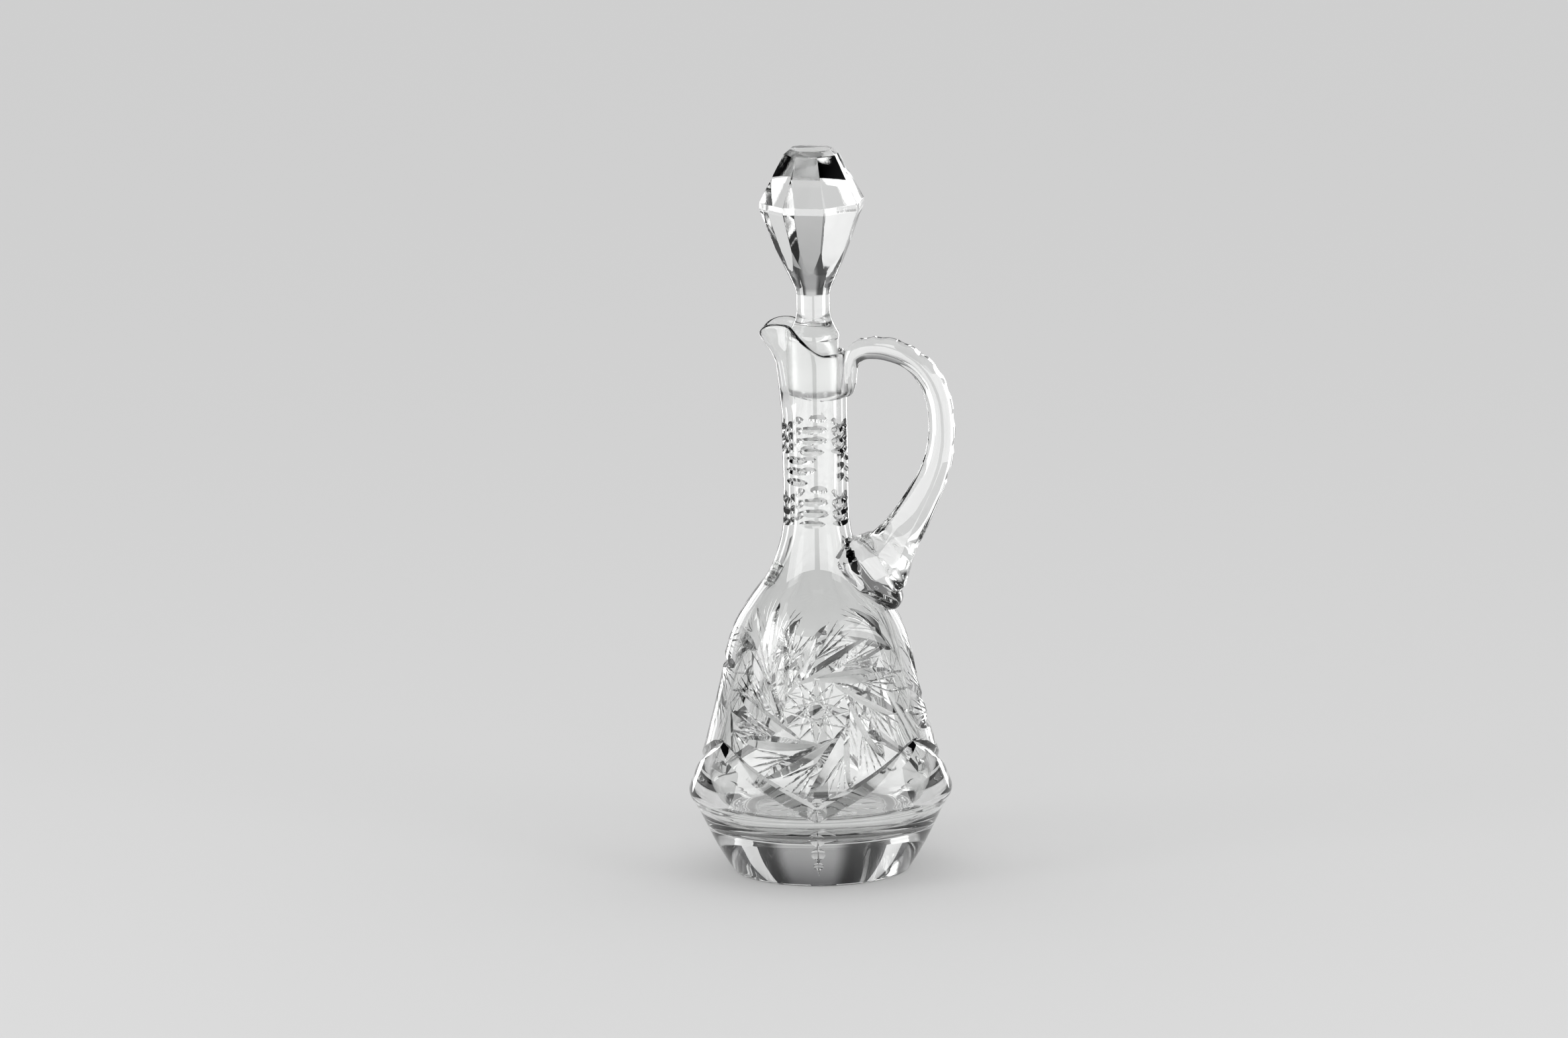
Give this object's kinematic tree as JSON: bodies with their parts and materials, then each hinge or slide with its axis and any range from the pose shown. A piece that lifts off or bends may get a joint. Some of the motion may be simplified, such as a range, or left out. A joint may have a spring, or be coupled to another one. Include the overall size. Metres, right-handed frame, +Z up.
{
  "type": "decanter",
  "caption": "Handled decanter of clear cut glass with a pouring lip and a faceted glass stopper that lifts out of the neck.",
  "frame": {"origin": "centre of the foot's underside, on the surface that the decanter stands on", "axes": "+Z up the neck, +X towards the handle, -X towards the pouring lip"},
  "size_m": [0.1312, 0.126, 0.35],
  "materials": {
    "vessel_glass": "clear, fire polished, with polished wheel cuts",
    "handle_glass": "clear, panelled and polished",
    "stopper_glass": "clear, faceted and polished, with a ground plug"
  },
  "bodies": {
    "decanter": {"vessel": "vessel_glass", "handle": "handle_glass"},
    "stopper": {"stopper": "stopper_glass"}
  },
  "joints": [
    {"name": "stopper_lift", "type": "slide", "parent": "decanter", "child": "stopper", "axis": [0, 0, 1], "range_m": [0, 0.05]}
  ]
}
